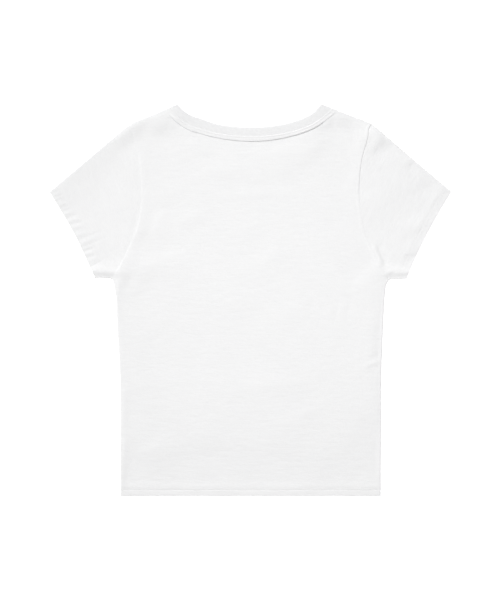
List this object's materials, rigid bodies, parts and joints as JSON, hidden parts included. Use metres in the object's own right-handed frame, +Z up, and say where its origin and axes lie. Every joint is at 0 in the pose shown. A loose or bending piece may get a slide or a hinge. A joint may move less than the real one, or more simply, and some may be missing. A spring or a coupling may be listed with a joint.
{
  "type": "t-shirt",
  "caption": "Short fitted white t-shirt with short sleeves and a ribbed round neckband, laid flat with its back panel up.",
  "frame": {"origin": "on the table, under the middle of the laid shirt's outline", "axes": "+X to the right sleeve as seen from above with the neck away, +Y to the neck, +Z up from the table"},
  "size_m": [0.6032, 0.5876, 0.0048],
  "materials": {
    "jersey": "matt white single jersey",
    "rib": "matt white fine rib knit"
  },
  "bodies": {
    "root": {"front": "jersey", "back": "jersey", "sleeve_left": "jersey", "sleeve_right": "jersey", "neckband": "rib"}
  },
  "joints": []
}
